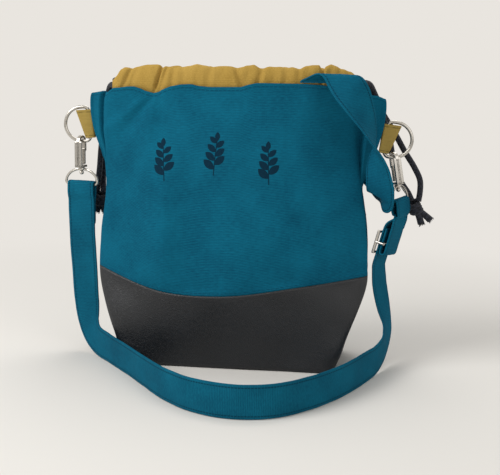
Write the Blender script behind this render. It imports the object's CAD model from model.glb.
# Drawstring project pouch: canvas body on a faux-leather base, gathered mustard collar,
# black drawcords, carry loop and a clip-on shoulder strap. Shapes are worked out in
# millimetres and go into the meshes in metres.
from math import cos, exp, pi, radians, sin, sqrt
import bmesh
import bpy
from mathutils import Matrix, Quaternion, Vector, noise


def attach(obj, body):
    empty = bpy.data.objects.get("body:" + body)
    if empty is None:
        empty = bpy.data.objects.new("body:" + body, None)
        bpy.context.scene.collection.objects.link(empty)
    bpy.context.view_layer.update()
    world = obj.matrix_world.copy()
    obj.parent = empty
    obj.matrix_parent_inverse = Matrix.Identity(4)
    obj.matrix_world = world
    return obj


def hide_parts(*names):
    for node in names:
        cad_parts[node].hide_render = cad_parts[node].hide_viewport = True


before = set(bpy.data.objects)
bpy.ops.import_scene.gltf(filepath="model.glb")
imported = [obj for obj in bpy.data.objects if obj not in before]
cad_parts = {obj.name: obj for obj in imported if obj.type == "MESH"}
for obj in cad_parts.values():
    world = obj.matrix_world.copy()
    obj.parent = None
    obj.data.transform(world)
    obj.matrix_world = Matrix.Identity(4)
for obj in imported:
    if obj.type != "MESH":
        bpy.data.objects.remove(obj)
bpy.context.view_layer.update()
mm = 0.001

# the view the photograph was taken from, in pixels, millimetres and degrees
cameraPlace = {"focal": 942.589, "frameWidth": 500, "sensor": 36, "distance": 960, "height": 274.546,
               "pitch": 8.8115, "azimuth": 6.847, "roll": 0.872, "sideways": 16.0}


def placeCamera():
    c = cameraPlace
    az, pitch, roll = (radians(c[k]) for k in ("azimuth", "pitch", "roll"))
    ahead = Vector((-sin(az) * cos(pitch), cos(az) * cos(pitch), -sin(pitch)))
    level = Vector((cos(az), sin(az), 0))
    upright = level.cross(ahead)
    right = level * cos(roll) + upright * sin(roll)
    up = upright * cos(roll) - level * sin(roll)
    place = Vector((c["distance"] * sin(az) + c["sideways"] * cos(az),
                    -c["distance"] * cos(az) + c["sideways"] * sin(az), c["height"])) * mm
    lens = bpy.data.cameras.new("photoCamera")
    lens.sensor_width = c["sensor"]
    lens.lens = c["focal"] / c["frameWidth"] * c["sensor"]
    camera = bpy.data.objects.new("photoCamera", lens)
    camera.matrix_world = Matrix((
        (right.x, up.x, -ahead.x, place.x), (right.y, up.y, -ahead.y, place.y),
        (right.z, up.z, -ahead.z, place.z), (0, 0, 0, 1)))
    bpy.context.scene.collection.objects.link(camera)
    bpy.context.scene.camera = camera


placeCamera()
print("camera placed")


def toPiece(shape, name, finish):
    mesh = bpy.data.meshes.new(name)
    shape.to_mesh(mesh)
    shape.free()
    piece = bpy.data.objects.new(name, mesh)
    bpy.context.scene.collection.objects.link(piece)
    mesh.materials.append(finish)
    return piece


# what the frame is told of a piece: its body, the node it stands for and its material
def settle(piece, body, node):
    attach(piece, body)
    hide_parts(node)


# a grid whose points a formula moves; its UV map holds metres of cloth
def clothGrid(name, finish, across, along, size, place, weld=0.0, outward=None):
    shape = bmesh.new()
    threads = shape.loops.layers.uv.new("threads")
    bmesh.ops.create_grid(shape, x_segments=across, y_segments=along, size=0.5)
    for face in shape.faces:
        face.smooth = True
        for corner in face.loops:
            spot = corner.vert.co
            corner[threads].uv = ((spot.x + 0.5) * size[0] * mm, (spot.y + 0.5) * size[1] * mm)
    for vert in shape.verts:
        vert.co = place(min(max(vert.co.x + 0.5, 0), 1), min(max(vert.co.y + 0.5, 0), 1)) * mm
    if weld:
        bmesh.ops.remove_doubles(shape, verts=shape.verts, dist=weld * mm)
        bmesh.ops.recalc_face_normals(shape, faces=shape.faces)
    elif outward is not None:
        shape.normal_update()
        if sum(f.normal.dot(outward(f.calc_center_median())) * f.calc_area() for f in shape.faces) < 0:
            bmesh.ops.reverse_faces(shape, faces=shape.faces)
    return toPiece(shape, name, finish)


def thicken(piece, thickness, offset, smooth=0):
    solid = piece.modifiers.new("thickness", "SOLIDIFY")
    solid.thickness = thickness * mm
    solid.offset = offset
    if smooth:
        soft = piece.modifiers.new("soft", "SUBSURF")
        soft.levels = smooth
        soft.render_levels = smooth


# centripetal curve through points, one value of t per span
def curvePoint(points, t):
    least = 1e-4
    span = (len(points) - 1) * t
    i = min(int(span), len(points) - 2)
    weight = span - i
    b, c = points[i], points[i + 1]
    a = points[i - 1] if i > 0 else b * 2 - c
    d = points[i + 2] if i + 2 < len(points) else c * 2 - b
    gap0, gap1, gap2 = (sqrt((q - p).length) for p, q in ((a, b), (b, c), (c, d)))
    gap1 = gap1 if gap1 > least else 1
    gap0 = gap0 if gap0 > least else gap1
    gap2 = gap2 if gap2 > least else gap1
    leave = ((b - a) / gap0 - (c - a) / (gap0 + gap1) + (c - b) / gap1) * gap1
    reach = ((c - b) / gap1 - (d - b) / (gap1 + gap2) + (d - c) / gap2) * gap1
    return (b + leave * weight + (c * 3 - b * 3 - leave * 2 - reach) * weight ** 2
            + (b * 2 - c * 2 + leave + reach) * weight ** 3)


def curveValue(values, t):
    span = t * (len(values) - 1)
    i = min(int(span), len(values) - 2)
    f = span - i
    slopeIn = (values[i + 1] - values[max(i - 1, 0)]) / 2
    slopeOut = (values[min(i + 2, len(values) - 1)] - values[i]) / 2
    return ((2 * f ** 3 - 3 * f ** 2 + 1) * values[i] + (f ** 3 - 2 * f ** 2 + f) * slopeIn
            + (3 * f ** 2 - 2 * f ** 3) * values[i + 1] + (f ** 3 - f ** 2) * slopeOut)


# a height read from a table, half straight and half eased between two entries
def tableValue(table, x):
    if x <= table[0][0]:
        return table[0][1]
    for (x0, z0), (x1, z1) in zip(table, table[1:]):
        if x <= x1:
            f = (x - x0) / (x1 - x0)
            return z0 + (z1 - z0) * (f * f * (3 - 2 * f) * 0.5 + f * 0.5)
    return table[-1][1]


def smoothStep(x, low, high):
    f = min(max((x - low) / (high - low), 0), 1)
    return f * f * (3 - 2 * f)


def hill(x, middle, width):
    return exp(-((x - middle) / width) ** 2)


def signedPower(value, power):
    return (1 if value > 0 else -1) * abs(value) ** power


def ripple(x, y, z, grain, seed=0.0):
    return noise.noise(Vector((x / grain + seed, y / grain, z / grain)))


def lengthsAlong(spots):
    reached = [0.0]
    for a, b in zip(spots, spots[1:]):
        reached.append(reached[-1] + (b - a).length)
    return reached


# a closed round tube along points, as a welded grid with metres in its UV map
def roundTube(name, finish, points, radius, sides=14, rows=60):
    stations = [curvePoint(points, i / (rows * 2)) for i in range(rows * 2 + 1)]
    reached = lengthsAlong(stations)
    total = reached[-1]

    def stationAt(v):
        want = v * total
        i = 0
        while i < len(reached) - 2 and reached[i + 1] < want:
            i += 1
        f = (want - reached[i]) / max(reached[i + 1] - reached[i], 1e-6)
        return stations[i].lerp(stations[i + 1], min(max(f, 0), 1))

    spots = [stationAt(i / rows) for i in range(rows + 1)]
    side = None
    frames = []
    for i, spot in enumerate(spots):
        along = (spots[min(i + 1, rows)] - spots[max(i - 1, 0)]).normalized()
        if side is None:
            side = along.cross(Vector((0.3, 0.2, 0.93))).normalized()
        side = (side - along * side.dot(along)).normalized()
        frames.append((spot, side.copy(), along.cross(side)))
    thick = radius if callable(radius) else (lambda v: radius)

    def place(u, v):
        spot, right, up = frames[round(v * rows)]
        angle = 2 * pi * u
        return spot + (right * cos(angle) + up * sin(angle)) * thick(v)

    piece = clothGrid(name, finish, sides, rows, (2 * pi * thick(0.5), total), place, weld=0.01)
    shape = bmesh.new()
    shape.from_mesh(piece.data)
    bmesh.ops.holes_fill(shape, edges=[e for e in shape.edges if e.is_boundary])
    bmesh.ops.recalc_face_normals(shape, faces=shape.faces)
    shape.to_mesh(piece.data)
    shape.free()
    return piece, spots, total


# materials: a node's inputs are numbers or the outputs of other nodes
def addNode(tree, kind, inputs, **settings):
    made = tree.nodes.new(kind)
    for key, value in settings.items():
        setattr(made, key, value)
    for key, value in inputs.items():
        if isinstance(value, bpy.types.NodeSocket):
            tree.links.new(value, made.inputs[key])
        else:
            made.inputs[key].default_value = value
    return made


def hexColour(text):
    parts = [int(text[i:i + 2], 16) / 255 for i in (1, 3, 5)]
    return [p / 12.92 if p <= 0.04045 else ((p + 0.055) / 1.055) ** 2.4 for p in parts] + [1]


def maths(tree, operation, *values, clamp=False):
    made = addNode(tree, "ShaderNodeMath", dict(enumerate(values)), operation=operation, use_clamp=clamp)
    return made.outputs[0]


def ranged(tree, value, span, result):
    return addNode(tree, "ShaderNodeMapRange", {
        0: value, 1: span[0], 2: span[1], 3: result[0], 4: result[1]}).outputs[0]


def noiseOn(tree, place, scale, detail, roughness=0.5):
    return addNode(tree, "ShaderNodeTexNoise", {
        "Vector": place, "Scale": scale, "Detail": detail, "Roughness": roughness})


def twoColours(tree, share, spec):
    return addNode(tree, "ShaderNodeMix", {
        0: share, 6: hexColour(spec["deep"]), 7: hexColour(spec["light"])}, data_type="RGBA").outputs[2]


def bumped(tree, height, strength, distance):
    return addNode(tree, "ShaderNodeBump", {
        "Height": height, "Strength": strength, "Distance": distance * mm}).outputs[0]


def splitUp(tree, vector):
    return addNode(tree, "ShaderNodeSeparateXYZ", {0: vector}).outputs


def clothPlace(tree):
    return addNode(tree, "ShaderNodeUVMap", {}, uv_map="threads").outputs[0]


def objectPlace(tree):
    return addNode(tree, "ShaderNodeTexCoord", {}).outputs["Object"]


def newFinish(name):
    finish = bpy.data.materials.new(name)
    finish.use_nodes = True
    finish.node_tree.nodes.clear()
    return finish, finish.node_tree


def closeFinish(tree, shader):
    addNode(tree, "ShaderNodeOutputMaterial", {"Surface": shader.outputs[0]})


def paint(tree, inputs):
    closeFinish(tree, addNode(tree, "ShaderNodeBsdfPrincipled", inputs))


# woven cloth: matt fibres in a plain weave whose weft shows as fine ribs, with long slubs in
# them; drawn a little coarser than the real 0.5 mm threads so that it shows from a step away.
# Sewn lines lie at set distances from the piece's edges, along it (sewn) and across it (ends).
weave = {
    "slubs": 1100.0, "slubStretch": 0.3, "slubBend": 0.0004, "slubShare": (-0.06, 0.34), "slubHeight": 0.4,
    "weft": 0.8, "warp": 0.06, "clouds": 26.0, "cloudShare": (-0.18, 0.18), "bump": 0.25, "roughness": 0.9,
    "stitch": 2.8, "stitchFade": (0.3 * mm, 0.75 * mm), "stitchGap": (-0.7, -0.3), "stitchDepth": -1.2}


def wovenCloth(name, spec):
    finish, tree = newFinish(name)
    uv = clothPlace(tree)
    weft = spec.get("weft", 1)
    stretch = [1.0, 1.0, 1.0]
    stretch[1 - weft] = weave["slubStretch"]
    long = addNode(tree, "ShaderNodeVectorMath", {0: uv, 1: stretch}, operation="MULTIPLY").outputs[0]
    slub = noiseOn(tree, long, weave["slubs"], 2.0)
    bent = addNode(tree, "ShaderNodeMix", {
        0: weave["slubBend"], 4: uv, 5: slub.outputs["Color"]}, data_type="VECTOR").outputs[1]
    apart, straight = splitUp(tree, bent), splitUp(tree, uv)
    ridges = []
    for axis in (0, 1):
        wave = maths(tree, "SINE", maths(tree, "MULTIPLY", apart[axis], 2 * pi / (spec["thread"] * mm)))
        ridges.append(maths(tree, "MULTIPLY", wave, weave["weft" if axis == weft else "warp"]))
    threadShare = (spec["floor"], spec["floor"] + spec["contrast"])
    thread = ranged(tree, maths(tree, "ADD", *ridges), (-1, 1), threadShare)
    cloud = noiseOn(tree, objectPlace(tree), weave["clouds"], 3.0, 0.55)
    mottled = ranged(tree, cloud.outputs[0], (0.3, 0.7), weave["cloudShare"])
    fuzz = ranged(tree, slub.outputs[0], (0.25, 0.75), weave["slubShare"])
    share = maths(tree, "ADD", maths(tree, "ADD", thread, mottled), fuzz, clamp=True)
    top = twoColours(tree, share, spec)
    height = maths(tree, "MULTIPLY_ADD", slub.outputs[0], weave["slubHeight"], thread)
    marks = None
    sewnAxis = spec.get("sewnAxis", 0)
    for axis, places in ((sewnAxis, spec.get("sewn", ())), (1 - sewnAxis, spec.get("ends", ()))):
        for line in places:
            near = maths(tree, "ABSOLUTE", maths(tree, "SUBTRACT", straight[axis], line * mm))
            mark = ranged(tree, near, weave["stitchFade"], (1, 0))
            beat = maths(tree, "MULTIPLY", straight[1 - axis], 2 * pi / (weave["stitch"] * mm))
            gap = ranged(tree, maths(tree, "SINE", beat), weave["stitchGap"], (0.3, 1))
            stitch = maths(tree, "MULTIPLY", mark, gap)
            marks = stitch if marks is None else maths(tree, "MAXIMUM", marks, stitch)
    if marks is not None:
        top = addNode(tree, "ShaderNodeMix", {
            0: marks, 6: top, 7: hexColour(spec["threadColour"])}, data_type="RGBA").outputs[2]
        height = maths(tree, "MULTIPLY_ADD", marks, weave["stitchDepth"], height)
    paint(tree, {
        "Base Color": top, "Normal": bumped(tree, height, spec["relief"], weave["bump"]),
        "Roughness": weave["roughness"], "IOR": 1.46, "Specular IOR Level": 0.08})
    return finish


# embossed faux leather: satin black film with a pebbled grain
def fauxLeather(name, spec):
    finish, tree = newFinish(name)
    place = objectPlace(tree)
    warp = noiseOn(tree, place, spec["warps"], 2.0)
    shifted = addNode(tree, "ShaderNodeMix", {
        0: spec["warp"], 4: place, 5: warp.outputs["Color"]}, data_type="VECTOR").outputs[1]
    pebble = addNode(tree, "ShaderNodeTexVoronoi", {
        "Vector": shifted, "Scale": 1 / (spec["grain"] * mm)}, feature="DISTANCE_TO_EDGE")
    valley = ranged(tree, pebble.outputs["Distance"], (0, spec["valley"]), (0, 1))
    cloud = noiseOn(tree, place, spec["clouds"], 4.0).outputs[0]
    paint(tree, {
        "Base Color": twoColours(tree, cloud, spec),
        "Normal": bumped(tree, valley, spec["relief"], spec["bump"]),
        "Roughness": ranged(tree, cloud, (0.3, 0.7), spec["roughness"]), "IOR": 1.5})
    return finish


# braided cotton cord: dull fibres in crossing strands that follow the cord's own UV map
def braidedCord(name, spec):
    finish, tree = newFinish(name)
    apart = splitUp(tree, clothPlace(tree))
    around = maths(tree, "MULTIPLY", apart[0], 2 * pi * spec["strands"] / (spec["girth"] * mm))
    length = maths(tree, "MULTIPLY", apart[1], 2 * pi / (spec["lay"] * mm))
    crossed = [maths(tree, "SINE", maths(tree, way, around, length)) for way in ("ADD", "SUBTRACT")]
    share = ranged(tree, maths(tree, "MAXIMUM", *crossed), (-0.6, 1), (0, 1))
    paint(tree, {
        "Base Color": twoColours(tree, share, spec),
        "Normal": bumped(tree, share, spec["relief"], spec["bump"]),
        "Roughness": 0.9, "Sheen Weight": 0.1})
    return finish


# nickel plate on cast zinc: bright, with faint polishing marks
def nickelPlate(name, spec):
    finish, tree = newFinish(name)
    marks = noiseOn(tree, objectPlace(tree), spec["marks"], 3.0).outputs[0]
    paint(tree, {
        "Base Color": hexColour(spec["colour"]), "Metallic": 1.0,
        "Roughness": ranged(tree, marks, (0.3, 0.7), spec["roughness"]),
        "Normal": bumped(tree, marks, spec["relief"], spec["bump"])})
    return finish


canvas = wovenCloth("tealDuckCanvas", {
    "deep": "#053F57", "light": "#10718D", "thread": 1.5, "floor": 0.14, "contrast": 0.46, "relief": 0.3,
    "sewn": (2.4, 195.6), "sewnAxis": 1, "threadColour": "#0A4B63"})
strapCanvas = wovenCloth("tealStrapCanvas", {
    "deep": "#063F56", "light": "#116E89", "thread": 1.5, "floor": 0.12, "contrast": 0.46, "relief": 0.3,
    "sewn": (3.0, 28.0), "ends": (3.0, 6.5), "threadColour": "#08394C"})
loopCanvas = wovenCloth("tealLoopCanvas", {
    "deep": "#064059", "light": "#12728D", "thread": 1.5, "floor": 0.12, "contrast": 0.46, "relief": 0.3,
    "sewn": (3.0, 35.0), "threadColour": "#08394C"})
collarCotton = wovenCloth("mustardCotton", {
    "deep": "#A08039", "light": "#CBA85A", "thread": 1.2, "floor": 0.2, "contrast": 0.2, "relief": 0.1,
    "weft": 0})
tabCotton = wovenCloth("mustardTabCotton", {
    "deep": "#927B3F", "light": "#BAA05A", "thread": 1.2, "floor": 0.12, "contrast": 0.36, "relief": 0.15,
    "sewn": (2.5, 26.5), "sewnAxis": 1, "threadColour": "#7F6D3B"})
liningCotton = wovenCloth("liningCotton", {
    "deep": "#14161B", "light": "#23262E", "thread": 1.2, "floor": 0.0, "contrast": 0.7, "relief": 0.2})
leather = fauxLeather("blackFauxLeather", {
    "deep": "#080B10", "light": "#12161C", "grain": 1.5, "valley": 0.22, "warps": 260.0, "warp": 0.006,
    "clouds": 18.0, "roughness": (0.36, 0.50), "relief": 0.55, "bump": 0.18})
cordCotton = braidedCord("blackBraidedCotton", {
    "deep": "#0E1016", "light": "#262934", "strands": 4, "girth": 18.8, "lay": 5.0, "relief": 0.8,
    "bump": 0.5})
nickel = nickelPlate("nickelPlatedZinc", {
    "colour": "#BDB9B2", "marks": 420.0, "roughness": (0.20, 0.27), "relief": 0.03, "bump": 0.1})
print("materials made")

# drawcords: routes in millimetres, as the model's source has them
cordSizes = {"diameter": 6.0, "gap": 0.3, "lead": 2, "mouth": {"left": -119.0, "right": 122.0},
             "height": {"left": 277.0, "right": 283.6}, "bridge": 5.0, "bridgeTurn": (0.8, 0.7),
             "through": (0, 0.06, 0.15, 0.32, 0.5, 0.68, 0.85, 0.94, 1)}
cordRoutes = {
    "left_cord_front": [(-124.5, -1, 277), (-130.5, 8, 279.3), (-136, 17, 274.5), (-139, 19, 256),
        (-142, 16.5, 236), (-144.5, 15, 214), (-146, 14, 193), (-148, 14, 177), (-149.8, 16.5, 166.4)],
    "left_cord_back": [(-124.5, 13, 280), (-128.5, 21, 275.5), (-133, 25, 261), (-138, 25.5, 242),
        (-142, 24, 220), (-144, 23, 200), (-144.3, 21.5, 184), (-143.5, 18.5, 174), (-143.2, 16.5, 166.4)],
    "right_cord_front": [(127.5, -2, 284.5), (133, 7, 283), (138, 16, 274.5), (144.5, 18, 260),
        (150, 16, 243), (155, 15, 228), (158, 15, 214), (162, 18, 198), (169, 21, 184), (176, 21, 174),
        (179.7, 19, 166.4)],
    "right_cord_back": [(127, 15, 284), (132, 22.5, 276.5), (140, 24.5, 265), (150, 24.5, 250),
        (161, 23, 233), (171, 22, 216), (181, 21, 200.5), (187, 20, 188), (187.5, 19, 176),
        (186.3, 19, 166.4)],
}

# cross-sections of the body: z, left and right fold, fold depth, middle depth, side seam
bodySections = [(0, 103, 103, 49, 51, 106), (42, 117, 117, 41, 57, 122),
        (84, 130, 131, 30, 60, 134), (125, 131, 132, 23, 57, 131), (165, 130, 129, 18, 51, 126),
        (212, 129, 120, 15, 43, 139), (240, 129, 118, 14, 36, 148), (266, 128, 119, 15, 30, 150),
        (283, 122, 121, 17, 27, 144)]
bodyTop = bodySections[-1][0]
# shares of a section: depth between fold and middle, place of the ear's bend and of the cheek
bodyShares = {"cheek": 0.72, "ear": 0.35, "cheekOut": 0.52, "earDepth": 0.5}
# the panels lie apart where a tab is sewn between them: rest gap, tab gap and its heights
seamApart = {"rest": 0.15, "tab": 3.7, "from": 196, "to": 208}


def sectionAt(z):
    heights = [s[0] for s in bodySections]
    z = min(max(z, 0), heights[-1])
    last = len(heights) - 1
    i = 0
    while i < last - 1 and heights[i + 1] < z:
        i += 1
    t = (i + (z - heights[i]) / (heights[i + 1] - heights[i])) / last
    return [curveValue([s[k] for s in bodySections], t) for k in range(1, 6)]


# sections worked out once for every half millimetre
sectionTable = [sectionAt(row / 2) for row in range(2 * bodyTop + 1)]


def outlineAt(z, t):
    spot = min(max(z, 0), bodyTop) * 2
    i = min(int(spot), len(sectionTable) - 2)
    left, right, depth, middle, seam = (
        a + (b - a) * (spot - i) for a, b in zip(sectionTable[i], sectionTable[i + 1]))
    ear, out, bend = bodyShares["ear"], bodyShares["cheekOut"], depth * bodyShares["earDepth"]
    cheek = depth + (middle - depth) * bodyShares["cheek"]
    xs = [-seam, -(left * ear + seam * (1 - ear)), -left, -left * out, 0, right * out, right,
          right * ear + seam * (1 - ear), seam]
    ys = [0, bend, depth, cheek, middle, cheek, depth, bend, 0]
    return Vector((curveValue(xs, t), -curveValue(ys, t)))


# a point of the body's outline and the direction that leads out of the body there
def bodySpot(z, t):
    apart = seamApart["rest"] + smoothStep(z, seamApart["from"], seamApart["to"]) * seamApart["tab"]
    here = outlineAt(z, t)
    along = (outlineAt(z, min(t + 0.01, 1)) - outlineAt(z, max(t - 0.01, 0))).normalized()
    return Vector((here.x, min(here.y, -apart))), Vector((along.y, -along.x))


mouth = {"middle": 27, "narrows": 10, "reach": 121.5}
casing = {"top": 299, "bottom": 268, "left": -119, "right": 122, "full": 13.6, "end": 9.6, "setIn": 3.3,
          "fullFrom": 0.15, "least": 0.15}


def mouthLine(x):
    return mouth["middle"] - mouth["narrows"] * min(abs(x) / mouth["reach"], 1) ** 2


def casingHalf(x):
    along = (x - casing["left"]) / (casing["right"] - casing["left"])
    fullness = smoothStep(min(along, 1 - along), 0, casing["fullFrom"])
    fullness = fullness * (1 - casing["least"]) + casing["least"]
    return (casing["end"] + (casing["full"] - casing["end"]) * fullness) / 2


def casingMiddle(x):
    return mouthLine(x) - casing["setIn"] - casingHalf(x)


# four free strands, out of the casings' ends and down to the knots
def freeCords():
    lengths = {}
    for name, route in cordRoutes.items():
        side, _, strand = name.split("_")
        mouthAt = cordSizes["mouth"][side]
        way = 1 if mouthAt > 0 else -1
        face = 1 if strand == "front" else -1
        start = Vector((mouthAt + way * cordSizes["gap"], -face * casingMiddle(mouthAt),
                        cordSizes["height"][side]))
        points = [start, start + Vector((way * cordSizes["lead"], 0, 0))] + [Vector(p) for p in route]
        piece, spots, total = roundTube(side + "Strand" + strand.capitalize(), cordCotton, points,
                                        cordSizes["diameter"] / 2, sides=16, rows=64)
        settle(piece, "bag", name)
        lengths[name] = round(total)
    print("cord lengths in mm", lengths)


knotPlaces = {
    "left": {"centre": (-146.5, 16.5, 160), "tails": ((-150, 15, 146.5), (-142, 18, 146.5)), "lean": 0.05},
    "right": {"centre": (183, 19, 160), "tails": ((190, 17, 143.5), (199, 20, 147.5)), "lean": -0.5},
}
knotSizes = {"points": 34, "perTurn": 11, "half": 4.6, "swell": 4.3, "swing": 0.6, "flat": 0.85,
             "tilt": 1.2,
             "radius": 2.9, "flare": 0.7, "fibres": 16, "fibreTurn": 2.4, "fibreRadius": 0.5}


# an overhand knot: a body wound twice round, and two tails whose fibres have come apart
def cordKnots():
    k = knotSizes
    for side, spec in knotPlaces.items():
        centre = Vector(spec["centre"])
        tilt = Quaternion((0, 1, 0), spec["lean"])
        wind = []
        for i in range(k["points"]):
            angle = 2 * pi * i / k["perTurn"]
            level = k["half"] - 2 * k["half"] * i / (k["points"] - 1)
            swell = k["swell"] + k["swing"] * sin(angle * 0.5)
            wind.append(centre + tilt @ Vector((
                swell * cos(angle), swell * k["flat"] * sin(angle), level + k["tilt"] * sin(angle))))
        parts = [roundTube("windPart", cordCotton, wind, k["radius"], sides=12, rows=110)[0]]
        for tail in spec["tails"]:
            end = Vector(tail)
            bow = (centre + end) / 2 + Vector((0.6, -0.8, 0))
            parts.append(roundTube("tailPart", cordCotton, [centre, bow, end],
                                   lambda v: k["radius"] + k["flare"] * v, sides=12, rows=12)[0])
            way = (end - centre).normalized()
            flat = way.cross(Vector((0, 1, 0))).normalized()
            deep = way.cross(flat)
            for i in range(k["fibres"]):
                angle = k["fibreTurn"] * i
                spread = 0.6 + k["radius"] * sqrt(i / k["fibres"])
                aside = (flat * cos(angle) + deep * sin(angle)) * spread
                root = end + aside * 0.55 - way * 2
                tip = end + aside * 1.15 + way * (2.4 - 1.6 * (i % 4) / 4)
                parts.append(roundTube("fibrePart", cordCotton, [root, (root + tip) / 2 + flat * 0.3, tip],
                                       lambda v: k["fibreRadius"] * (1 - 0.5 * v), sides=5, rows=5)[0])
        shape = bmesh.new()
        for part in parts:
            shape.from_mesh(part.data)
            bpy.data.objects.remove(part)
        knot = toPiece(shape, side + "CordKnot", cordCotton)
        for face in knot.data.polygons:
            face.use_smooth = True
        settle(knot, "bag", side + "_cord_knot")


# the stretch of each cord inside the casings
def heldCords():
    for side, other in (("left", "right"), ("right", "left")):
        start, finish = cordSizes["mouth"][side], cordSizes["mouth"][other]
        z = cordSizes["height"][side]
        bulge = cordSizes["bridge"] * (1 if finish > 0 else -1)
        swing = -casingMiddle(finish)
        out, back = cordSizes["bridgeTurn"]
        through = [start + (finish - start) * share for share in cordSizes["through"]]
        points = [Vector((x, -casingMiddle(x), z)) for x in through]
        points += [Vector((finish + bulge * out, swing * back, z)), Vector((finish + bulge, 0, z)),
                   Vector((finish + bulge * out, -swing * back, z))]
        points += [Vector((x, casingMiddle(x), z)) for x in reversed(through)]
        piece = roundTube(side + "HeldCord", cordCotton, points, cordSizes["diameter"] / 2, rows=120)[0]
        settle(piece, "bag", side + "_cord_run")


cordKnots()
freeCords()
heldCords()
print("cords made")

# the seam between canvas and base: its lowest height, and its rises from left to right
baseSeam = {"lowest": 76.0, "rises": [19, 19, 19, 1, 0, 9.5, 18.5, 19, 19]}


def seamAt(t):
    return baseSeam["lowest"] + curveValue(baseSeam["rises"], t)


# canvas panels; the front hem's height along x follows how the gathers pull it
panels = {
    "cloth": 1.4, "columns": 190, "rows": 110, "flat": (342, 199), "hemAt": 270, "seamGap": 0.3,
    "folds": (0.203, 0.797), "foldWidth": 0.024, "foldDepth": 5.5, "foldHeights": (120, 185),
    "backHem": 282.6, "backDrop": 22, "backWave": 1.2, "deepest": 6,
    "frontHem": [(-151, 268), (-148, 271), (-137, 272.5), (-131, 271), (-125, 276),
        (-120, 276.3), (-110, 277.5), (-103.7, 277.8), (-96.6, 276.2), (-88.4, 273.3), (-80.3, 271.5),
        (-75.3, 272.6), (-70, 276), (-63, 278.6), (-53, 280.4), (-43, 280.8), (-34, 279), (-23, 278.2),
        (7.7, 278.6), (16.6, 281.2), (23.5, 282.7), (65, 282.6), (85, 281.7), (100, 280), (117, 279),
        (124, 274), (133, 273), (141.5, 272), (149, 269)],
}
# folds that fan out of the deep pleat (slant, width, height, fade), the pinch below it, and
# a soft ridge with a hollow beside it at the lower left
creases = {
    "top": 272, "pleat": -80, "pinch": 2.2, "pinchWidth": 6, "pinchFall": 16,
    "fans": [(-1.35, 9, 2.4, 55), (-0.75, 8, -3.6, 60), (-0.1, 7, 2.4, 70), (0.55, 10, -2.3, 80),
             (1.15, 12, 1.8, 60)],
    "ridge": 6.0, "ridgeAt": -68, "ridgeSlant": 0.03, "ridgeWidths": (28, 15), "hollow": 2.4,
    "hollowOff": 36,
    "hollowWidth": 20,
}


def frontCreases(x, z):
    c = creases
    down = c["top"] - z
    lift = 0.0
    for slant, width, height, fade in c["fans"]:
        middle = c["pleat"] + slant * down
        reach = width * (0.5 + down / 60)
        lift += height * hill(x, middle, reach) * exp(-max(down, 0) / fade) * smoothStep(down, -4, 14)
    lift -= c["pinch"] * hill(x, c["pleat"], c["pinchWidth"]) * hill(max(down, 0), 0, c["pinchFall"])
    ridge = c["ridgeAt"] + c["ridgeSlant"] * (down - 60)
    spread = c["ridgeWidths"][0 if x < ridge else 1]
    lift += c["ridge"] * hill(x, ridge, spread) * smoothStep(down, 40, 110) * smoothStep(z, 66, 110)
    lift -= c["hollow"] * hill(x - ridge, c["hollowOff"], c["hollowWidth"]) * smoothStep(down, 60, 120)
    return lift


def panelEnds(u, side):
    x = outlineAt(panels["hemAt"], u).x
    out = abs(2 * u - 1)
    if side > 0:
        hem = tableValue(panels["frontHem"], x)
    else:
        wave = panels["backWave"] * sin(x / 17) * (1 - out)
        hem = panels["backHem"] - panels["backDrop"] * out ** 1.5 + wave
    return seamAt(u) + panels["seamGap"], hem


def panelPoint(u, v, side, lift=0.0):
    bottom, hem = panelEnds(u, side)
    z = bottom + (hem - bottom) * v
    p, out = bodySpot(z, u)
    free = sin(pi * min(max(u, 0), 1)) ** 0.5
    slack = (1.5 * ripple(p.x * 0.9 + z * 0.5, 0, z, 52, 3.1 * side)
             + 0.7 * ripple(p.x, 0, z + p.x * 0.4, 21, 7.7 * side))
    slack += exp(-(z - bottom) / 22) * 0.9 * sin(p.x / 12.5 + side) * free
    if side > 0:
        slack += frontCreases(p.x, z)
    else:
        slack += 1.1 * sin(p.x / 11 + z / 40) * exp(-(hem - z) / 26)
    slack *= free * smoothStep(z, bottom - 1, bottom + 8)
    # behind each fold the cloth falls away in a groove before it comes out again as the ear
    groove = max(hill(u, at, panels["foldWidth"]) for at in panels["folds"])
    slack -= panels["foldDepth"] * groove * smoothStep(z, *panels["foldHeights"])
    y = p.y + out.y * (slack + lift)
    x = p.x + out.x * (slack + lift)
    return Vector((x, min(y, p.y + panels["deepest"], -seamApart["rest"]) * side, z))


def makePanels():
    for name, side, node in (("frontCanvas", 1, "front_panel"), ("backCanvas", -1, "back_panel")):
        piece = clothGrid(name, canvas, panels["columns"], panels["rows"], panels["flat"],
                          lambda u, v: panelPoint(u, v, side), outward=lambda c: Vector((0, -side, 0)))
        thicken(piece, panels["cloth"], -1)
        settle(piece, "bag", node)


# faux-leather base: one welded shell, its floor sewn square and its walls sagging a little
base = {"cloth": 1.6, "columns": 260, "rows": 54, "floorRows": 10, "flat": (640, 140), "round": 4.0,
        "roundShare": 0.12, "floorHalf": 60, "floorEase": 0.8, "slack": 1.1, "grain": 38, "corner": 112,
        "cornerWidth": 14, "dent": 1.3}


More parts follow.
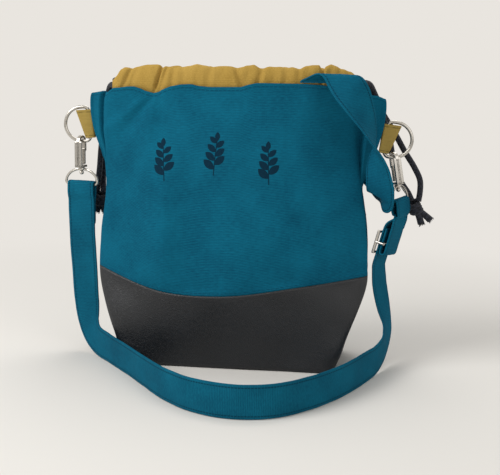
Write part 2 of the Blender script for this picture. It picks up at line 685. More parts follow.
def basePoint(u, v):
    floorShare, roundShare, r = base["floorRows"] / base["rows"], base["roundShare"], base["round"]
    around = (u * 2) % 2
    side = 1 if around < 1 else -1
    t = around if around < 1 else 2 - around
    if v < floorShare:
        p, _ = bodySpot(0, t)
        share = (v / floorShare) ** base["floorEase"]
        reach = 1 - r / base["floorHalf"]
        return Vector((p.x * share * reach, min(p.y, 0) * side * share * reach, 0.0))
    rise = (v - floorShare) / (1 - floorShare)
    z = r + (seamAt(t) - r) * (rise - roundShare) / (1 - roundShare)
    inset = 0.0
    if rise < roundShare:
        angle = rise / roundShare * pi / 2
        z = r * (1 - cos(angle))
        inset = r * (1 - sin(angle))
    p, out = bodySpot(z, t)
    free = min(1, z / 14)
    slack = base["slack"] * ripple(p.x, p.y * side, z, base["grain"], 5.5) * free
    corner = hill(abs(p.x), base["corner"], base["cornerWidth"]) * base["dent"]
    slack += corner * sin(z / 8 + p.x * 0.05) * free * (0.4 + 0.6 * exp(-z / 40))
    reach = slack * smoothStep(seamAt(t) - z, 0, 6) - inset
    return Vector((p.x + out.x * reach, min(p.y + out.y * reach, 0) * side, z))


def makeBase():
    piece = clothGrid("leatherBase", leather, base["columns"], base["rows"], base["flat"], basePoint,
                      weld=0.02)
    thicken(piece, base["cloth"], -1)
    settle(piece, "bag", "base_panel")


# dark lining: a plain bag that hangs inside
lining = {"cloth": 0.6, "columns": 96, "rows": 60, "flat": (480, 300), "floorShare": 0.12, "floor": 2.6,
          "height": 265, "inset": 6, "least": 4, "corner": 0.8, "gap": 3.2, "slack": 0.02, "grain": 30}


def liningPoint(u, v):
    floorShare = lining["floorShare"]
    onFloor = v < floorShare
    z = lining["floor"] + (0 if onFloor else lining["height"] * (v - floorShare) / (1 - floorShare))
    left, right, depth, middle, seam = sectionAt(z)
    half = min(left, right, seam) - lining["inset"]
    corner = max(depth - lining["inset"], lining["least"]) * lining["corner"]
    x = half * signedPower(cos(2 * pi * u), 0.5)
    reach = corner + (middle - lining["gap"] - corner) * (1 - (abs(x) / half) ** 2)
    y = reach * signedPower(sin(2 * pi * u), 0.5)
    slack = min(1 + lining["slack"] * ripple(x, y, z, lining["grain"], 9.1), 1)
    share = v / floorShare if onFloor else 1
    return Vector((x * share * slack, y * share * slack, z))


def makeLining():
    piece = clothGrid("innerLining", liningCotton, lining["columns"], lining["rows"], lining["flat"],
                      liningPoint, weld=0.02)
    thicken(piece, lining["cloth"], -1)
    settle(piece, "bag", "lining")


# gathered collar: pleats as place along x, width, depth and slant with height
collar = {
    "cloth": 0.8, "around": 40, "along": 420, "flat": (90, 410), "frontEnds": (-124.5, 126.0),
    "endShare": 0.55, "endRound": 7, "roundness": {1: 0.62, -1: 0.7}, "top": 0.72, "freeFrom": 268,
    "freeTo": 282,
    "pleatAt": 286, "swell": 1.3, "crumple": 0.5, "backTop": 298.2, "backWave": 1.4, "backDrop": 12,
    "half": 121,
    "frontTop": [(-124, 284), (-120.8, 287.7), (-115.6, 294.7), (-111.5, 296.7),
        (-105.3, 296.3), (-98.2, 297.9), (-88, 299.5), (-77.8, 299.8), (-71.7, 298.2), (-66.7, 298.7),
        (-60.6, 297.3), (-52.5, 297.9), (-44.5, 298.7), (-37.5, 300.5), (-29.4, 299.2), (-23.4, 298.3),
        (-9.4, 299.2), (0.6, 298.5), (6.5, 297.2), (12.5, 299.7), (19.4, 300.7), (25.4, 297.4), (35.2, 299),
        (45.1, 298.9), (51, 298.2), (56.9, 298.7), (64.7, 297.4), (70.6, 299.9), (77.4, 300.9), (83.2, 301),
        (86.3, 296.7), (90.1, 300.1), (94.9, 302.1), (100.7, 300.2), (105.6, 297.9), (113.5, 295.6),
        (121.4, 289.9), (125, 287)],
    "frontPleats": [(-109, 2.4, 2.6, 0.5), (-102, 3.5, 1.4, 0.3), (-76, 1.8, 4.6, 0.3),
        (-71, 2.4, 2.6, 0.35), (-61, 3, 1.4, 0.1), (-50, 3.5, 1.0, -0.1), (-24, 4, 1.4, 0.25),
        (-9, 5, 0.9, -0.1), (6, 3, 2.6, -0.35), (14, 4, 0.8, 0.2), (25.5, 2.8, 2.4, 0.3), (40, 4, 1.0, 0),
        (51, 3.4, 1.2, 0.1), (64.5, 3.2, 1.5, -0.1), (86.3, 1.7, 3.6, 0.1), (93, 3, 0.9, 0.2),
        (106, 2.8, 2.0, -0.2), (115, 3, 1.6, -0.3)],
    "backPleats": [(-108, 3, 2.2, 0.2), (-93, 2.6, 2.6, -0.2), (-77, 3, 2.2, 0.1),
        (-60, 2.6, 3.0, 0.2), (-44, 3.4, 2.0, -0.1), (-27, 2.6, 2.8, 0.1), (-10, 3.2, 2.2, -0.2),
        (9, 2.8, 2.8, 0.2), (27, 3.2, 2.0, 0), (44, 2.6, 2.8, -0.1), (62, 3.2, 2.2, 0.2),
        (80, 2.6, 2.8, -0.2), (98, 3, 2.2, 0.1), (111, 3, 2.0, 0)],
}


def collarPoint(u, v, side):
    left, right = collar["frontEnds"] if side > 0 else (casing["left"], casing["right"])
    x = left + (right - left) * v
    c, s = cos(2 * pi * u), sin(2 * pi * u)
    within = min(max(x, casing["left"]), casing["right"])
    ended = smoothStep(min(x - left, right - x), 0, collar["endRound"])
    half = casingHalf(within) * (collar["endShare"] + (1 - collar["endShare"]) * ended)
    depth = half * signedPower(c, collar["roundness"][side])
    reach = signedPower(s, collar["top"])
    if side > 0:
        top = tableValue(collar["frontTop"], x)
    else:
        drop = collar["backDrop"] * (abs(x) / collar["half"]) ** 10
        top = collar["backTop"] + collar["backWave"] * sin(x / 5.7) - drop
    middle = (casing["top"] + casing["bottom"]) / 2
    z = middle + reach * ((top - middle) if reach > 0 else (middle - casing["bottom"]))
    free = smoothStep(z, collar["freeFrom"], collar["freeTo"])
    pinch = sum(deep * hill(x - at, slant * (z - collar["pleatAt"]), width)
                for at, width, deep, slant in collar["frontPleats" if side > 0 else "backPleats"])
    swell = collar["swell"] * ripple(x, 0, z * 0.35, 9, 2.2 * side)
    swell += collar["crumple"] * ripple(x, depth, z, 5, 4.4)
    inward = (pinch - swell - 0.6) * free
    y = casingMiddle(within) + depth
    y += inward * (max(-c, 0) ** 0.6 * 0.5 - max(c, 0) ** 0.6 * 0.95)
    return Vector((x, -y * side, z - pinch * 0.35 * max(s, 0) * free))


def makeCollar():
    for name, side, node in (("frontCollar", 1, "front_casing"), ("backCollar", -1, "back_casing")):
        piece = clothGrid(name, collarCotton, collar["around"], collar["along"], collar["flat"],
                          lambda u, v: collarPoint(u, v, side), weld=0.01)
        thicken(piece, collar["cloth"], -1)
        settle(piece, "bag", node)


makePanels()
makeBase()
makeLining()
makeCollar()
print("body made")

# places of the hardware, as the model's source has them
hardware = {
    "left": {"bar": Vector((-152.3, 0, 239.2)), "lean": radians(-4), "out": -1, "hookOut": 10.2,
             "hookTurn": radians(-12), "hookLean": 0.0, "eyeTurn": radians(-14)},
    "right": {"bar": Vector((151, 0, 230)), "lean": radians(7), "out": 1, "hookOut": 10.5,
              "hookTurn": radians(25), "hookLean": radians(-10), "eyeTurn": radians(63)},
}
wire = {"ring": 3.5, "ringInside": 31.5, "ringDepth": 22.0, "ringCorner": 5, "eye": 2.8, "eyeHeight": 17.5,
        "eyeCorner": 2.2, "strap": 31.0, "strapPlay": 3, "hookHeight": 33.0, "hookMetal": 2.5,
        "jawInside": 10.0,
        "jawSlack": 1.9, "nose": 9.0, "spineTop": 27.0, "hookWidth": 8.0, "neck": 4.0, "stem": 2.6,
        "head": 4.6,
        "boss": 7.0, "bossHeight": 3.0, "bossGap": 0.6, "gate": 2.2, "gateWidth": 5.0, "gateLap": 3,
        "gap": 0.3}


def inPlace(piece, matrix):
    for step in (Matrix.Diagonal((1 / mm, 1 / mm, 1 / mm, 1)), matrix, Matrix.Diagonal((mm, mm, mm, 1))):
        piece.data.transform(step)


def ringPath():
    half = wire["ringInside"] / 2 + wire["ring"] / 2
    shoulder = wire["ringDepth"] + wire["ring"] - half
    corner = wire["ringCorner"]
    points = [Vector((0, 0, 0.3)), Vector((0, 0, half - corner))]
    for i in range(1, 6):
        a = pi - i / 5 * pi / 2
        points.append(Vector((corner + corner * cos(a), 0, half - corner + corner * sin(a))))
    for i in range(0, 25):
        a = pi / 2 - i / 24 * pi
        points.append(Vector((shoulder + half * cos(a), 0, half * sin(a))))
    for i in range(0, 5):
        a = -pi / 2 - i / 5 * pi / 2
        points.append(Vector((corner + corner * cos(a), 0, corner - half + corner * sin(a))))
    return points + [Vector((0, 0, corner - half)), Vector((0, 0, -0.3))]


def ringMatrix(spec):
    turn = Matrix.Rotation(spec["lean"], 4, "Y")
    if spec["out"] < 0:
        turn = turn @ Matrix.Rotation(pi, 4, "Z")
    return Matrix.Translation(spec["bar"]) @ turn


def stemMatrix(spec):
    half = wire["ringInside"] / 2 + wire["ring"] / 2
    reach = Vector((spec["out"] * spec["hookOut"], 0, -half))
    hung = Matrix.Rotation(spec["lean"], 4, "Y") @ reach + spec["bar"]
    up = Vector((sin(spec["hookLean"]), 0, cos(spec["hookLean"])))
    seat = wire["hookHeight"] - wire["hookMetal"] - wire["jawSlack"] - wire["ring"] / 2
    return Matrix.Translation(hung - up * seat) @ Matrix.Rotation(spec["hookLean"], 4, "Y")


# each face or edge once, in the order given
def onlyOnce(elements):
    return list(dict.fromkeys(elements))


def easeEdges(shape, edges, ease, segments, **settings):
    bmesh.ops.bevel(shape, geom=onlyOnce(edges), offset=ease * mm, offset_type="OFFSET", segments=segments,
                    profile=0.5, affect="EDGES", material=-1, **settings)


# a flat outline in the YZ plane, extruded along X and eased on its edges
def addPlate(shape, outline, width, ease):
    corners = [shape.verts.new((-width / 2 * mm, y * mm, z * mm)) for y, z in outline]
    face = shape.faces.new(corners)
    grown = bmesh.ops.extrude_face_region(shape, geom=[face])
    moved = [g for g in grown["geom"] if isinstance(g, bmesh.types.BMVert)]
    bmesh.ops.translate(shape, verts=moved, vec=(width * mm, 0, 0))
    faces = onlyOnce(f for v in corners + moved for f in v.link_faces)
    bmesh.ops.recalc_face_normals(shape, faces=faces)
    sharp = (e for f in faces for e in f.edges if e.calc_face_angle(0) > 0.9)
    easeEdges(shape, sharp, ease, 3, clamp_overlap=True)


def addBall(shape, centre, radius):
    made = bmesh.ops.create_uvsphere(shape, u_segments=28, v_segments=18, radius=radius * mm)
    bmesh.ops.translate(shape, verts=made["verts"], vec=Vector(centre) * mm)


# a drum is made on its own, so that easing its rims leaves the rest of the shape alone
def addDrum(shape, centre, radius, height, turn=None, ease=0.3):
    drum = bmesh.new()
    made = bmesh.ops.create_cone(drum, cap_ends=True, cap_tris=False, segments=32, radius1=radius * mm,
                                 radius2=radius * mm, depth=height * mm)
    easeEdges(drum, (e for v in made["verts"] for e in v.link_edges if e.calc_face_angle(0) > 1), ease, 2)
    if turn is not None:
        bmesh.ops.rotate(drum, verts=drum.verts, cent=(0, 0, 0), matrix=turn)
    bmesh.ops.translate(drum, verts=drum.verts, vec=Vector(centre) * mm)
    mesh = bpy.data.meshes.new("drumPart")
    drum.to_mesh(mesh)
    drum.free()
    shape.from_mesh(mesh)
    bpy.data.meshes.remove(mesh)


def smoothMetal(piece):
    for face in piece.data.polygons:
        face.use_smooth = True
    weighted = piece.modifiers.new("weighted", "WEIGHTED_NORMAL")
    weighted.keep_sharp = False
    return piece


def hookOutline():
    inner = wire["jawInside"] / 2
    outer = inner + wire["hookMetal"]
    straight = wire["hookHeight"] - outer
    line = [(-outer, 0.0), (-outer, straight)]
    line += [(-outer * cos(pi * i / 18), straight + outer * sin(pi * i / 18)) for i in range(1, 18)]
    end = straight - wire["nose"]
    line += [(outer, straight), (outer, end), (inner, end), (inner, straight)]
    line += [(inner * cos(pi * i / 14), straight + inner * sin(pi * i / 14)) for i in range(1, 14)]
    line += [(-inner, straight), (-inner, wire["hookMetal"]), (inner, wire["hookMetal"]), (inner, 0.0)]
    return line


def makeHardware(side):
    spec = hardware[side]
    metal, nose, high = wire["hookMetal"], wire["jawInside"] / 2, wire["spineTop"]
    ring = roundTube(side + "Ring", nickel, ringPath(), wire["ring"] / 2, sides=20, rows=150)[0]
    inPlace(ring, ringMatrix(spec))
    settle(ring, side + "_ring", side + "_ring")
    stem = stemMatrix(spec)
    turned = stem @ Matrix.Rotation(spec["hookTurn"], 4, "Z")

    # hook: a bent neck, a broad spine and foot, and the stem with its head below
    shape = bmesh.new()
    addPlate(shape, hookOutline(), wire["neck"], 0.7)
    spine = -nose - metal
    tongue = [(spine, 0.2), (spine, high - 1.5), (spine + 0.6, high), (spine + 2.3, high),
              (spine + metal, high - 1), (spine + metal, 0.2)]
    addPlate(shape, tongue, wire["hookWidth"], 0.6)
    addPlate(shape, [(spine, 0), (spine, metal), (nose, metal), (nose, 0)], wire["hookWidth"], 0.6)
    length = wire["bossHeight"] + wire["bossGap"]
    addDrum(shape, (0, 0, 1 - length / 2), wire["stem"] / 2, length + 2)
    addBall(shape, (0, 0, -length - wire["head"] / 2 + 0.4), wire["head"] / 2)
    hook = smoothMetal(toPiece(shape, side + "Hook", nickel))
    inPlace(hook, turned)
    settle(hook, side + "_hook", side + "_hook")

    shape = bmesh.new()
    face, foot = nose - wire["gap"], 3.1
    back = face - wire["gate"]
    top = wire["hookHeight"] - nose - metal - wire["nose"] + wire["gateLap"]
    addPlate(shape, [(face, foot), (face, top), (back, top), (back, foot)], wire["gateWidth"], 0.6)
    gate = smoothMetal(toPiece(shape, side + "Gate", nickel))
    inPlace(gate, turned)
    settle(gate, side + "_gate", side + "_gate")

    # eye: a wire arch for the strap, with the boss that turns on the stem
    half = (wire["strap"] + wire["strapPlay"] + wire["eye"]) / 2
    shoulder = wire["bossHeight"] / 2 + wire["gap"]
    drop, corner = wire["eyeHeight"], wire["eyeCorner"]
    arch = drop - corner - shoulder
    points = [Vector((0.01, 0, -drop)), Vector((half - corner, 0, -drop))]
    points += [Vector((half * cos(i * pi / 24), 0, -drop + corner + arch * sin(i * pi / 24)))
               for i in range(25)]
    points += [Vector((corner - half, 0, -drop)), Vector((-0.6, 0, -drop))]
    eye = roundTube(side + "Eye", nickel, points, wire["eye"] / 2, sides=18, rows=130)[0]
    shape = bmesh.new()
    shape.from_mesh(eye.data)
    addDrum(shape, (0, 0, -shoulder), wire["boss"] / 2, wire["bossHeight"], ease=0.6)
    shape.to_mesh(eye.data)
    shape.free()
    for f in eye.data.polygons:
        f.use_smooth = True
    inPlace(eye, stem @ Matrix.Rotation(spec["eyeTurn"], 4, "Z"))
    settle(eye, "bag", side + "_eye")


# a tab folded round the ring's bar; its reach is less at the bottom, so the fold slants
tabSizes = {"width": 29.0, "cloth": 1.4, "reach": 12.0, "lowReach": 4.0, "seat": 5.0, "seam": 0.15,
            "sag": 0.125, "flat": (46, 29)}


def makeTab(side):
    inside = wire["ring"] / 2 + wire["gap"]
    offset = tabSizes["cloth"] / 2
    seam = tabSizes["seam"] + offset
    line = [(-tabSizes["seat"], seam), (-inside - 1, inside + offset)]
    line += [(tabSizes["reach"] - inside + (inside + offset) * cos(a), (inside + offset) * sin(a))
             for a in (pi / 2 - i / 10 * pi for i in range(11))]
    line += [(-inside - 1, -inside - offset), (-tabSizes["seat"], -seam)]
    path = [Vector((x, y, 0)) for x, y in line]

    def place(u, v):
        spot = curvePoint(path, u)
        reach = tabSizes["lowReach"] + (tabSizes["reach"] - tabSizes["lowReach"]) * v
        x = spot.x * reach / tabSizes["reach"] if spot.x > 0 else spot.x
        sag = tabSizes["sag"] * ripple(spot.x, spot.y * 4, v * 29, 6, 1.3)
        return Vector((x, spot.y + sag, (v - 0.5) * tabSizes["width"]))

    tab = clothGrid(side + "Tab", tabCotton, 56, 30, tabSizes["flat"], place,
                    outward=lambda c: Vector((0, c.y, 0)))
    thicken(tab, tabSizes["cloth"] * 0.9, 0, smooth=1)
    inPlace(tab, ringMatrix(hardware[side]))
    settle(tab, "bag", side + "_tab")


for sideName in ("left", "right"):
    makeHardware(sideName)
    makeTab(sideName)
print("hardware made")


# flat ribbons: a middle line and the direction of the width at each station
def smoothRun(knots, steps):
    points = [Vector(k[:3]) for k in knots]
    made = []
    for i in range(steps + 1):
        t = i / steps
        width = Vector([curveValue([k[3 + j] for k in knots], t) for j in range(3)])
        made.append((curvePoint(points, t), width))
    return made


def makeRibbon(name, finish, stations, width, cloth, across, looseness, square=True):
    count = len(stations)
    reached = lengthsAlong([spot for spot, _ in stations])
    frames = []
    for i, (spot, way) in enumerate(stations):
        along = (stations[min(i + 1, count - 1)][0] - stations[max(i - 1, 0)][0]).normalized()
        side = (way - along * (way.dot(along) if square else 0)).normalized()
        frames.append((spot, side, along.cross(side).normalized()))

    def place(u, v):
        i = round(v * (count - 1))
        spot, side, out = frames[i]
        reach = (u - 0.5) * width
        s = reached[i]
        wave = looseness * (ripple(s, reach * 0.6, 0, 17, 5.1) + 0.5 * ripple(s, reach, 3, 7, 2.7))
        edge = 0.25 * looseness * ripple(s, 9 if u > 0.5 else -9, 0, 12, 8.8)
        return spot + side * (reach + edge) + out * wave

    ribbon = clothGrid(name, finish, across, count - 1, (width, reached[-1]), place,
                       outward=lambda c: Vector((0, 0, 1)))
    for corner in ribbon.data.uv_layers["threads"].data:
        i = round(corner.uv.y / (reached[-1] * mm) * (count - 1))
        corner.uv.y = reached[min(i, count - 1)] * mm
    thicken(ribbon, cloth * 0.9, 0, smooth=1)
    return ribbon, reached[-1]


# the strap's way round an eye's bar; its two layers close up some way below the bar
overEye = {"gap": 1.55, "layer": 1.25, "closed": 14}


def overBar(eye, before, after, side, edge):
    bar, up, along = eye
    radius = wire["eye"] / 2 + overEye["gap"]
    face = up.cross(along) * side

    def at(out, drop):
        return (bar + face * out - up * drop, along * edge)

    def layer(way, drops):
        return [at(way * (overEye["layer"] if d > overEye["closed"] else radius), d) for d in drops]

    turn = [at(radius * cos(i / 14 * pi), -radius * sin(i / 14 * pi)) for i in range(15)]
    return layer(1, before) + turn + layer(-1, after)


def eyeFrame(spec):
    stem = stemMatrix(spec)
    up = stem.to_3x3() @ Vector((0, 0, 1))
    along = stem.to_3x3() @ Vector((cos(spec["eyeTurn"]), sin(spec["eyeTurn"]), 0))
    return (stem.translation - up * wire["eyeHeight"], up, along)


# shoulder strap: knots of its middle line with the direction of its width; on the floor the
# knots are x, y and the lean and dip of the width
strap = {
    "width": 31.0, "cloth": 2.2, "ground": 15.7, "top": (-160.5, -1.5, 118), "slack": 0.35, "folded": 19.2,
    "leftEnd": ([42, 36, 30, 24, 19, 15, 11, 7, 3], [3, 7, 11, 15, 18, 21]),
    "rightEnd": ([15, 11, 7, 3], [3, 7, 11, 15]),
    "falling": [(-158.5, -2, 88, 0.96, -0.26, 0.05), (-156.5, -3, 56, 0.92, -0.3, 0.25),
                (-152, -8, 30, 0.7, -0.36, 0.62), (-141, -22, 18, 0.3, -0.2, 0.93)],
    "floorRun": [(-119, -50, 0.05, -0.08), (-92, -86, 0, -0.1), (-66, -122, 0, -0.1), (-38, -158, 0, -0.05),
                 (-8, -183, 0, 0), (27, -194, 0, 0), (60, -187, 0, 0), (88, -162, 0, 0), (116, -121, 0, 0),
                 (138, -72, 0, 0)],
    "rising": [(149, -44, 16.7, 0, -0.15, 1), (156.5, -21, 25, -0.1, -0.5, 0.86),
               (158.5, -7, 41, -0.3, -0.8, 0.5), (154.5, -2, 60, -0.42, -0.88, 0.12),
               (149.5, -0.5, 84, -0.44, -0.89, 0)],
}
slide = {"length": 24.0, "wire": 2.8, "rail": 2.6, "travel": 8.0, "gap": 0.3, "turnAt": -8.3, "ease": 0.8,
         "place": Vector((154, 0, 126)), "up": Vector((0.25, 0, 0.968)).normalized()}


# the slider's own directions, and how far out its bars lie behind and in front of the strap
def slideFrame():
    up, along = slide["up"], eyeFrame(hardware["right"])[2]
    across = (along - up * along.dot(up)).normalized()
    behind = strap["cloth"] * 1.5 + 2 * slide["gap"] + slide["wire"] / 2
    front = strap["cloth"] / 2 + slide["gap"] + slide["wire"] / 2
    return up, across, up.cross(across).normalized(), behind, front


def makeStrap():
    leftEye, rightEye = eyeFrame(hardware["left"]), eyeFrame(hardware["right"])
    up, across, out, behind, wrap = slideFrame()

    def atSlider(rise, aside):
        return (slide["place"] + up * rise + out * aside, -across)

    def bridge(a, b, steps):
        return [(a[0].lerp(b[0], i / steps), a[1].lerp(b[1], i / steps)) for i in range(1, steps)]

    leftEnd = overBar(leftEye, *strap["leftEnd"], 1, 1)
    rightEnd = overBar(rightEye, *strap["rightEnd"], -1, -1)
    low = atSlider(-slide["length"], 0)
    knots = [(*leftEnd[-1][0], *leftEnd[-1][1]), (*strap["top"], leftEye[2].x, leftEye[2].y, 0)]
    knots += strap["falling"]
    knots += [(x, y, strap["ground"], lean, dip, 1) for x, y, lean, dip in strap["floorRun"]]
    knots += strap["rising"] + [(*low[0], *low[1])]
    run = smoothRun(knots, 260)
    turn = [atSlider(slide["turnAt"] - wrap * sin(i / 12 * pi), -behind - wrap * cos(i / 12 * pi))
            for i in range(13)]
    end = [atSlider(0, 0), atSlider(strap["folded"], 0)]
    back = [atSlider(strap["folded"], -behind - wrap), atSlider(0, -behind - wrap)]
    last = atSlider(slide["travel"] + 8, wrap - behind)
    stations = leftEnd + run[1:] + bridge(run[-1], end[0], 4) + [end[0]]
    stations += bridge(end[0], end[1], 3) + [end[1]] + bridge(end[1], rightEnd[0], 4) + rightEnd
    stations += bridge(rightEnd[-1], back[0], 4) + [back[0]]
    stations += bridge(back[0], back[1], 3) + [back[1]] + bridge(back[1], turn[0], 2) + turn
    stations += bridge(turn[-1], last, 5) + [last]
    ribbon, length = makeRibbon("shoulderStrap", strapCanvas, stations, strap["width"], strap["cloth"], 12,
                                strap["slack"])
    settle(ribbon, "bag", "shoulder_strap")
    print("strap length in mm", round(length))


# slider: two rails and two bars in front of the strap, and one bar behind it on short pins
def makeSlider():
    up, across, out, behind, front = slideFrame()
    shape = bmesh.new()
    railAt = strap["width"] / 2 + 0.6 + slide["rail"] / 2
    for x in (-railAt, railAt):
        made = bmesh.ops.create_cube(shape, size=1)
        size = Vector((slide["rail"], slide["wire"], slide["length"])) * mm
        bmesh.ops.scale(shape, verts=made["verts"], vec=size)
        bmesh.ops.translate(shape, verts=made["verts"], vec=Vector((x, front, 0)) * mm)
        easeEdges(shape, (e for v in made["verts"] for e in v.link_edges), slide["ease"], 3)
        addDrum(shape, (x, (front - behind) / 2, 0), slide["wire"] / 2, behind + front,
                turn=Matrix.Rotation(pi / 2, 3, "X"), ease=0.2)
    end = slide["length"] / 2 - slide["wire"] / 2
    for y, z in ((front, end), (front, -end), (-behind, 0)):
        addDrum(shape, (0, y, z), slide["wire"] / 2, railAt * 2,
                turn=Matrix.Rotation(pi / 2, 3, "Y"), ease=0.2)
    slider = smoothMetal(toPiece(shape, "strapSlider", nickel))
    inPlace(slider, Matrix.Translation(slide["place"]) @ Matrix((across, out, up)).transposed().to_4x4())
    settle(slider, "strap_slider", "strap_slider")


# carry loop: x, y, z of its middle line and the direction of its width
carry = {
    "width": 38.0, "cloth": 2.0, "root": 84.5, "rootOut": 0.6, "rootHeight": 283.9, "slack": 0.6,
    "hem": {1: (11, 3), -1: (23, 1.5)},
    "knots": [(91, -26, 288.5, 1, 0, 0), (100, -30, 291.5, 1, 0, -0.05),
        (107, -34.5, 289, 1, 0, 0), (113, -37, 280, 0.97, 0.15, 0.1), (122, -38, 264, 0.78, 0.6, 0.15),
        (131, -36.5, 247, 0.5, 0.85, 0.1), (138, -33.5, 230, 0.15, 0.98, 0.05),
        (141.5, -31, 215, -0.3, 0.95, 0), (143.5, -29, 200, -0.6, 0.8, 0), (146, -28, 184, -0.7, 0.7, 0),
        (147, -20, 173, -0.62, 0.6, 0.3), (147.5, -8, 176, -0.2, 0.1, 0.97), (147.5, 4, 184, 0, 0, 1),
        (143, 19, 187, 0, 0, 1), (135, 32, 199, 0.2, 0, 0.95), (122, 39, 224, 0.7, 0, 0.65),
        (103, 38, 256, 0.9, 0, 0.4), (90, 29.5, 279, 1, 0, 0.1), (85.5, 26.5, 286, 1, 0.05, 0.05)],
}


def makeLoop():
    x = carry["root"]
    half = carry["width"] / 2
    slope = (mouthLine(x + half) - mouthLine(x - half)) / carry["width"] / 2
    y = mouthLine(x) + carry["rootOut"]

    def root(side, rise):
        deep, power = carry["hem"][side]
        drop = deep * abs(x / collar["half"] / 2) ** power
        return (x, -side * y, carry["rootHeight"] - drop + rise, 1, -side * slope, 0)

    knots = [root(1, 0), root(1, 1.5)] + carry["knots"] + [root(-1, 3), root(-1, 1)]
    ribbon, length = makeRibbon("carryLoop", loopCanvas, smoothRun(knots, 240), carry["width"],
                                carry["cloth"], 14, carry["slack"], square=False)
    settle(ribbon, "bag", "carry_loop")
    print("loop length in mm", round(length))


makeStrap()
makeSlider()
makeLoop()
print("ribbons made")

# printed leaf sprigs on the front: a plain motif in dark ink, lying on the canvas. A sprig is
# given by x, height and lean; its leaves stand in turn on either side of a stem
sprigPrint = {
    "deep": "#062233", "light": "#0A3347", "wear": 700.0, "lift": 0.12, "leaves": 7, "lowest": -13,
    "apart": 4.2,
    "leaf": 14, "shrinks": 0.8, "leafTurn": 0.85, "leafHalf": 0.27, "topAt": (17, 14), "topLeaf": 9.0,
    "stemFrom": -19, "stem": 34, "stemWidth": 0.9,
    "sprigs": [(-66, 205, -0.1), (-14, 212, 0.08), (38, 204, -0.05)],
}


def inkFinish():
    finish, tree = newFinish("screenInk")
    worn = noiseOn(tree, objectPlace(tree), sprigPrint["wear"], 2.0).outputs[0]
    paint(tree, {
        "Base Color": twoColours(tree, worn, sprigPrint), "Roughness": 0.8, "Specular IOR Level": 0.08})
    return finish


# the point of the front panel at a given x and height
def frontSpot(x, z):
    low, high = 0.0, 1.0
    for _ in range(18):
        middle = (low + high) / 2
        if outlineAt(z, middle).x < x:
            low = middle
        else:
            high = middle
    bottom, hem = panelEnds(low, 1)
    return panelPoint(low, (z - bottom) / (hem - bottom), 1, lift=sprigPrint["lift"])


def makePrint():
    k = sprigPrint
    ink = inkFinish()
    shape = bmesh.new()
    for cx, cz, lean in k["sprigs"]:
        leaves = []
        for i in range(k["leaves"]):
            rise = k["lowest"] + i * k["apart"]
            turn = k["leafTurn"] * (1 if i % 2 else -1)
            leaves.append((cx + rise * lean, cz + rise, turn, k["leaf"] - k["shrinks"] * i))
        leaves.append((cx + k["topAt"][0] * lean, cz + k["topAt"][1], 0.0, k["topLeaf"]))
        for lx, lz, turn, size in leaves:
            made = bmesh.ops.create_grid(shape, x_segments=4, y_segments=8, size=0.5)
            for v in made["verts"]:
                along = v.co.y + 0.5
                px = v.co.x * 2 * k["leafHalf"] * size * sin(pi * along) ** 0.8
                pz = along * size
                c, s = cos(turn), sin(turn)
                v.co = frontSpot(lx + px * c + pz * s, lz - px * s + pz * c) * mm
        made = bmesh.ops.create_grid(shape, x_segments=1, y_segments=14, size=0.5)
        for v in made["verts"]:
            rise = k["stemFrom"] + (v.co.y + 0.5) * k["stem"]
            v.co = frontSpot(cx + rise * lean + v.co.x * k["stemWidth"], cz + rise) * mm
    piece = toPiece(shape, "printedSprigs", ink)
    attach(piece, "bag")


makePrint()
print("print made")

# stage: colours, where the floor's own shading fades out, and lamps as place, size and power
studio = {
    "floor": "#E9E6E0", "backdrop": "#E9E5DF", "room": "#F4F2F0", "roomLight": 0.45, "floorSize": 4,
    "fade": (0.32, 0.85), "aim": (0, 0, 0.15),
    "lamps": {"window": ((-1.15, -0.85, 1.2), 1.0, 20), "fill": ((1.1, -0.9, 0.8), 1.0, 3.5),
              "top": ((0.1, 0.6, 1.5), 1.0, 7)},
}


def mixShaders(tree, share, first, second):
    return addNode(tree, "ShaderNodeMixShader", {0: share, 1: first.outputs[0], 2: second.outputs[0]})


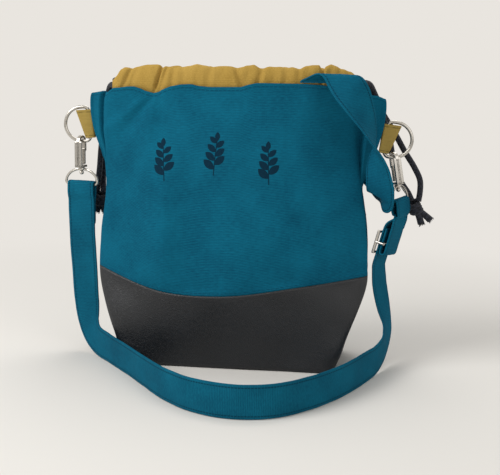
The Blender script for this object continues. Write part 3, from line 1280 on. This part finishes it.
# floor that shades only near the object and fades into the backdrop's colour
def makeFloor():
    finish, tree = newFinish("paleFloor")
    far = addNode(tree, "ShaderNodeVectorMath", {0: objectPlace(tree)}, operation="LENGTH").outputs["Value"]
    fade = addNode(tree, "ShaderNodeMapRange", {
        0: far, 1: studio["fade"][0], 2: studio["fade"][1], 3: 0.0, 4: 1.0},
        interpolation_type="SMOOTHSTEP")
    path = addNode(tree, "ShaderNodeLightPath", {})
    seen = maths(tree, "MULTIPLY", fade.outputs[0], path.outputs["Is Camera Ray"])
    cloth = addNode(tree, "ShaderNodeBsdfDiffuse", {"Color": hexColour(studio["floor"])})
    glow = addNode(tree, "ShaderNodeEmission", {"Color": hexColour(studio["backdrop"]), "Strength": 1.0})
    closeFinish(tree, mixShaders(tree, seen, cloth, glow))
    shape = bmesh.new()
    bmesh.ops.create_grid(shape, x_segments=2, y_segments=2, size=studio["floorSize"])
    toPiece(shape, "floor", finish)


def makeRoom():
    world = bpy.data.worlds.new("studio")
    world.use_nodes = True
    tree = world.node_tree
    tree.nodes.clear()
    path = addNode(tree, "ShaderNodeLightPath", {}).outputs
    seen = maths(tree, "MAXIMUM", path["Is Camera Ray"], path["Is Glossy Ray"])
    seen = maths(tree, "MAXIMUM", seen, path["Is Transmission Ray"])
    room = addNode(tree, "ShaderNodeBackground", {
        "Color": hexColour(studio["room"]), "Strength": studio["roomLight"]})
    wall = addNode(tree, "ShaderNodeBackground", {
        "Color": hexColour(studio["backdrop"]), "Strength": 1.0})
    addNode(tree, "ShaderNodeOutputWorld", {"Surface": mixShaders(tree, seen, room, wall).outputs[0]})
    bpy.context.scene.world = world
    for name, (spot, size, power) in studio["lamps"].items():
        light = bpy.data.lights.new(name, "AREA")
        light.shape = "SQUARE"
        light.size = size
        light.energy = power
        lamp = bpy.data.objects.new(name, light)
        lamp.location = spot
        lamp.rotation_euler = (Vector(studio["aim"]) - Vector(spot)).to_track_quat("-Z", "Y").to_euler()
        bpy.context.scene.collection.objects.link(lamp)
    bpy.context.scene.view_settings.view_transform = "Standard"


makeFloor()
makeRoom()
print("stage made")
